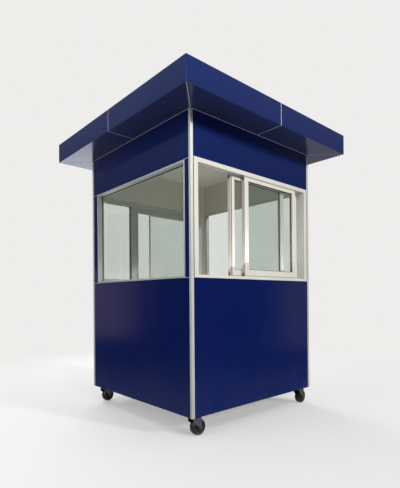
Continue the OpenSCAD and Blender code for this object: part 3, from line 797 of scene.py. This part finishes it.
def door_vent():
    """A light sash with its own pane, standing over most of the door's glass on the room side."""
    low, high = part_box("door_glass")
    stile, rail, depth = 0.016, 0.012, 0.012
    x0, x1 = low.x + 0.215 * (high.x - low.x), high.x - 0.002
    y0, y1 = low.y - 0.004 - depth, low.y - 0.004
    z0, z1 = low.z + 0.003, high.z - 0.003
    bars = bmesh.new()
    for a, b in ((x0, x0 + stile), (x1 - stile, x1)):
        add_bar(bars, (a, y0, z0), (b, y1, z1), 0.0012)
    for a, b in ((z0, z0 + rail), (z1 - rail, z1)):
        add_bar(bars, (x0 + stile - 0.001, y0 + 0.001, a), (x1 - stile + 0.001, y1 - 0.001, b), 0.0012)
    finish_piece("door_vent_sash", bars, [FINISH["cream_aluminium"]], "door")
    pane = bmesh.new()
    y = (y0 + y1) / 2
    add_bar(pane, (x0 + stile - 0.004, y - 0.002, z0 + rail - 0.004),
            (x1 - stile + 0.004, y + 0.002, z1 - rail + 0.004), 0.0003)
    finish_piece("door_vent_glass", pane, [FINISH["window_glass"]], "door")
    rubber = bmesh.new()
    for face, way in ((y - 0.002, -1), (y + 0.002, 1)):
        profile = [(-0.0004, face), (0.003, face), (0.0015, face + way * 0.0024),
                   (-0.0004, face + way * 0.0024)]
        add_loop(rubber, "XZ", (x0 + stile, z0 + rail), (x1 - stile, z1 - rail), profile)
    finish_piece("door_vent_gasket", rubber, [gasket], "door")


door_vent()


def jamb_fittings():
    """Weather strip on the door stops and the screws of the hinge plates on the jamb."""
    strip = bmesh.new()
    stop_y = leaf_low.y - leaf_gap
    x0, x1 = leaf_low.x - leaf_gap, leaf_high.x + leaf_gap
    z0, z1 = leaf_low.z - leaf_gap, leaf_high.z + leaf_gap
    profile = [(0.0035, stop_y - 0.0004), (0.0095, stop_y - 0.0004), (0.0090, stop_y + 0.0022),
               (0.0065, stop_y + 0.0036), (0.0040, stop_y + 0.0022)]
    add_loop(strip, "XZ", (x0, z0), (x1, z1), profile)
    finish_piece("door_weather_strip", strip, [gasket], "booth")
    metal = bmesh.new()
    hinge_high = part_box("frame_hinges")[1]
    for low_z in hinge_heights():
        for dz in hinge_screw_steps:
            add_screw(metal, (hinge_high.x - 0.012, door_high.y + 0.003, low_z + dz), (0, 1, 0),
                      0.0032)
    finish_piece("jamb_hinge_screws", metal, [FINISH["hardware_steel"]], "booth")


jamb_fittings()

# ---- Room ----


def room_trims():
    """Coved trims in the room's corners and round its ceiling, and a joint strip in the ceiling."""
    bm = bmesh.new()
    r = 0.014
    outline = [(0, 0)] + cove(r)
    ceiling = lining_high.z
    for sx in (-1, 1):
        for sy in (-1, 1):
            skin(bm, [[bm.verts.new((sx * (room_x - a), sy * (room_y - b), z)) for a, b in outline]
                      for z in (lining_low.z + 0.001, ceiling - 0.001)], closed=False)
    skin(bm, [[bm.verts.new((sx * (room_x - a), sy * (room_y - a), ceiling - b)) for a, b in outline]
              for sx, sy in round_plan])
    add_bar(bm, (-room_x + r, -0.016, ceiling - 0.003), (room_x - r, 0.016, ceiling + 0.0005), 0.001)
    return finish_piece("room_trims", bm, [white_trim], "booth")


room_trims()

# ---- Roof ----


def roof_details():
    """Sealant inside the roof's edge fold, lap joints of the sheet and their screws."""
    edge = bmesh.new()
    inner_x, inner_y, z = canopy_x - 0.025, canopy_y - 0.025, roof_z - sheet_t
    outline = [(0.0, -0.0005), (0.0, 0.0036), (0.006, 0.001), (0.010, -0.0005)]
    skin(edge, [[edge.verts.new((sx * (inner_x - a), sy * (inner_y - a), z + b)) for a, b in outline]
                for sx, sy in round_plan])
    finish_piece("roof_edge_sealant", edge, [sealant], "booth")
    laps = bmesh.new()
    screws = bmesh.new()
    for x in (-0.34, 0.34):
        lap_y = inner_y - 0.012
        add_bar(laps, (x - 0.022, -lap_y, z - 0.0005), (x + 0.022, lap_y, z + 0.0014), 0.0004)
        for i in range(9):
            y = (i - 4) * (inner_y - 0.06) / 4
            add_screw(screws, (x, y, z + 0.0014), (0, 0, 1), 0.0042)
    finish_piece("roof_lap_strips", laps, [FINISH["roof_sheet"]], "booth")
    finish_piece("roof_screws", screws, [bright_screw], "booth")


roof_details()

# ---- Base and casters ----

finished("base_frame", 0.0025, 3)
finished("caster_plates", 0.0012, 2)

corners = {"front_left": (-1, -1), "front_right": (1, -1), "rear_left": (-1, 1), "rear_right": (1, 1)}
plate_half = 0.05
swivel_x = plate_high.x - plate_half
swivel_y = plate_high.y - plate_half
wheel_r = (wheel_high.z - wheel_low.z) / 2


def caster_fixings():
    """Four bolts through each caster plate, and the pressed cup of the upper ball race."""
    bolts = bmesh.new()
    cups = bmesh.new()
    under = plate_low.z
    cup = [(0.0305, 0.0), (0.0375, 0.0), (0.0375, -0.0030), (0.0355, -0.0062), (0.0320, -0.0075),
           (0.0305, -0.0070)]
    for sx, sy in corners.values():
        for dx in (-0.037, 0.037):
            for dy in (-0.037, 0.037):
                add_hex_bolt(bolts, (sx * swivel_x + dx, sy * swivel_y + dy, under), (0, 0, -1), 0.013)
        add_ring(cups, cup, Matrix.Translation((sx * swivel_x, sy * swivel_y, under)))
    finish_piece("caster_bolts", bolts, [bright_screw], "booth")
    finish_piece("caster_race_cups", cups, [FINISH["caster_zinc"]], "booth")


def add_ring(bm, outline, matrix, steps=48):
    """A closed outline of (radius, height) points turned about Z into a ring."""
    part = bmesh.new()
    turn = [2 * math.pi * i / steps for i in range(steps)]
    skin(part, [[part.verts.new((r * math.cos(a), r * math.sin(a), h)) for r, h in outline]
                for a in turn])
    join(bm, part, matrix)


def axle_line(name):
    """A caster wheel's middle, its axle's direction and half the widths of its hub and tread."""
    points = [v.co for v in frame["nodes"][f"caster_wheel_{name}"].data.vertices]
    low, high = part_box(f"caster_wheel_{name}")
    middle = (low + high) / 2
    sx, sy = corners[name]
    trail = Vector((middle.x - sx * swivel_x, middle.y - sy * swivel_y, 0)).normalized()
    axle = Vector((-trail.y, trail.x, 0))
    spread = [(abs((p - middle).dot(axle)), (p - middle).length) for p in points]
    hub_half = max(along for along, _ in spread)
    tread_half = max(along for along, out in spread if out > wheel_r - 0.012)
    return middle, axle, hub_half, tread_half


def caster(name):
    """One caster's wheel with its tread, web and hub, and the axle's nuts on the fork."""
    middle, axle, hub_half, side_at = axle_line(name)
    place = facing(middle, axle)
    r = wheel_r
    tyre = bmesh.new()
    arc = [math.radians(a) for a in range(0, 91, 10)]
    crown = [(r - 0.0065 * (1 - math.cos(a)) ** 0.9, (side_at - 0.0002) * math.sin(a)) for a in arc]
    half = crown + [(r - 0.0115, side_at - 0.0001), (r - 0.0150, side_at - 0.0008),
                    (r - 0.0172, side_at - 0.0025), (r - 0.0180, side_at - 0.0060)]
    outline = [(a, -b) for a, b in reversed(half[1:])] + half
    add_ring(tyre, outline, place, 96)
    finish_piece(f"tyre_{name}", tyre, [FINISH["wheel_nylon"]], f"wheel_{name}",
                 [f"caster_wheel_{name}"])
    web = bmesh.new()
    side = [(r - 0.0175, side_at - 0.0040), (r - 0.0205, side_at - 0.0040),
            (r - 0.0225, side_at - 0.0065), (r - 0.0245, side_at - 0.0105),
            (0.0300, side_at - 0.0122), (0.0245, side_at - 0.0105), (0.0222, side_at - 0.0065),
            (0.0212, hub_half - 0.002), (0.0200, hub_half), (0.0063, hub_half)]
    add_ring(web, [(a, -b) for a, b in reversed(side)] + side, place, 64)
    for i in range(8):
        turn = Matrix.Rotation(2 * math.pi * i / 8, 4, "Z")
        for way in (-1, 1):
            rib = bmesh.new()
            low, high = sorted((way * (side_at - 0.0130), way * (side_at - 0.0058)))
            add_bar(rib, (0.0205, -0.0018, low), (r - 0.0215, 0.0018, high), 0.0006)
            join(web, rib, place @ turn)
    finish_piece(f"wheel_centre_{name}", web, [hub_plastic], f"wheel_{name}")
    finished(f"caster_fork_{name}", 0.0008, 2)


caster_fixings()
for name in corners:
    caster(name)

# ---- Finishes on the nodes that stay as they are ----

for node, holder in frame["nodes"].items():
    if holder.hide_render:
        continue
    holder.data.materials.clear()
    holder.data.materials.append(FINISH[node_slot[node]].material)

# ---- Camera, floor and light ----

camera_data = bpy.data.cameras.new("camera")
camera_data.lens = 29.13
camera_data.shift_x = 0.0119
camera_data.shift_y = 0.1086
camera = bpy.data.objects.new("camera", camera_data)
bpy.context.scene.collection.objects.link(camera)
camera_place = Vector((-2.643, -2.927, 1.048))
heading = math.radians(48.644 - 90)
roll = -0.0076
camera.matrix_world = (Matrix.Translation(camera_place) @ Matrix.Rotation(heading, 4, "Z")
                       @ Matrix.Rotation(math.pi / 2, 4, "X") @ Matrix.Rotation(roll, 4, "Z"))
bpy.context.scene.camera = camera
bpy.context.scene.view_settings.view_transform = "Standard"


def studio_floor():
    """A round pale floor that fades out into the backdrop."""
    bm = bmesh.new()
    bmesh.ops.create_circle(bm, cap_ends=True, segments=96, radius=14)
    mesh = bpy.data.meshes.new("studio_floor")
    bm.to_mesh(mesh)
    bm.free()
    floor = bpy.data.objects.new("studio_floor", mesh)
    bpy.context.scene.collection.objects.link(floor)
    f = Finish("floor paper", Roughness=0.9, Specular_IOR_Level=0.1)
    f.set(Base_Color=f.tint(f.noise(40, 4.0), (0.66, 0.655, 0.645), (0.70, 0.695, 0.685)))
    distance = f.node("ShaderNodeVectorMath", {"operation": "LENGTH"}, {0: f.place}, "Value")
    clear = f.node("ShaderNodeBsdfTransparent", {}, {})
    shown = Wire(f, f.shader.outputs[0])
    fade = f.step(distance, 1.4, 4.6, 0.4, 1.0)
    faded = f.node("ShaderNodeMixShader", {}, {0: fade, 1: shown, 2: clear})
    f.tree.links.new(faded.socket, f.output.inputs["Surface"])
    mesh.materials.append(f.material)
    floor.visible_glossy = False


def studio_world():
    """The backdrop as the camera sees it, and the softer, darker room that lights the booth."""
    world = bpy.data.worlds.new("studio")
    world.use_nodes = True
    bpy.context.scene.world = world
    tree = world.node_tree
    tree.nodes.clear()
    new, link = tree.nodes.new, tree.links.new
    place = new("ShaderNodeTexCoord")
    split = new("ShaderNodeSeparateXYZ")
    link(place.outputs["Generated"], split.inputs[0])
    ramp = new("ShaderNodeValToRGB")
    stops = [(0.0, (0.46, 0.46, 0.47)), (0.34, (0.46, 0.46, 0.47)), (0.42, (0.035, 0.035, 0.04)),
             (0.54, (0.05, 0.05, 0.055)), (0.64, (0.18, 0.185, 0.20)), (0.73, (0.50, 0.52, 0.58)),
             (0.85, (0.95, 0.97, 1.0)), (1.0, (1.0, 1.0, 1.0))]
    while len(ramp.color_ramp.elements) < len(stops):
        ramp.color_ramp.elements.new(0.5)
    for element, (where, colour) in zip(ramp.color_ramp.elements, stops):
        element.position = where
        element.color = (*colour, 1)
    height = new("ShaderNodeMapRange")
    for key, value in ((1, -1.0), (2, 1.0)):
        height.inputs[key].default_value = value
    link(split.outputs["Z"], height.inputs["Value"])
    link(height.outputs[0], ramp.inputs[0])
    room = new("ShaderNodeBackground")
    link(ramp.outputs[0], room.inputs["Color"])
    room.inputs["Strength"].default_value = 0.9
    backdrop = new("ShaderNodeBackground")
    backdrop.inputs["Color"].default_value = (0.855, 0.847, 0.832, 1)
    seen = new("ShaderNodeLightPath")
    pick = new("ShaderNodeMixShader")
    link(seen.outputs["Is Camera Ray"], pick.inputs[0])
    link(room.outputs[0], pick.inputs[1])
    link(backdrop.outputs[0], pick.inputs[2])
    output = new("ShaderNodeOutputWorld")
    link(pick.outputs[0], output.inputs["Surface"])


def aimed(name, kind, place, target, **settings):
    """A lamp at a place, turned to a target."""
    data = bpy.data.lights.new(name, kind)
    for key, value in settings.items():
        setattr(data, key, value)
    lamp = bpy.data.objects.new(name, data)
    bpy.context.scene.collection.objects.link(lamp)
    lamp.location = place
    lamp.rotation_euler = (Vector(target) - Vector(place)).to_track_quat("-Z", "Y").to_euler()
    lamp.visible_camera = False
    return lamp


studio_floor()
studio_world()
middle = (0, 0, 1.3)
aimed("key", "SUN", (2.1, -6.0, 4.0), middle, energy=1.8, angle=math.radians(6),
      color=(1.0, 0.985, 0.96))
aimed("top light", "AREA", (-1.5, -3.4, 3.5), (-0.2, -0.8, 2.4), energy=60,
      shape="RECTANGLE", size=1.6, size_y=0.8)
aimed("left fill", "AREA", (-6.5, 1.2, 3.2), middle, energy=150, shape="RECTANGLE", size=4, size_y=3,
      color=(0.92, 0.96, 1.0))
aimed("right card", "AREA", (5.6, -4.0, 0.9), (0.6, -0.76, 0.8), energy=2.6,
      shape="RECTANGLE", size=1.1, size_y=2.2, color=(1.0, 0.72, 0.42))
aimed("left card", "AREA", (-3.6, 5.6, 0.9), (-0.76, 0.5, 0.9), energy=3.0,
      shape="RECTANGLE", size=1.3, size_y=1.6, color=(1.0, 0.62, 0.50))
aimed("rear card", "AREA", (0.85, 4.8, 1.0), (-0.9, 0.9, 2.43), energy=15,
      shape="RECTANGLE", size=2.2, size_y=1.1, color=(0.95, 0.93, 1.0))
for name, place, energy, size in (("room fill", (0, 0, 0.75), 4.5, 1.0),
                                  ("room front", (0, -0.62, 1.2), 2.8, 0.9)):
    room = aimed(name, "AREA", place, (0, 0.25, 2.1), energy=energy, size=size)
    room.visible_glossy = False
aimed("rear fill", "AREA", (2.0, 6.2, 4.3), middle, energy=360, shape="RECTANGLE", size=4.5, size_y=2.2)
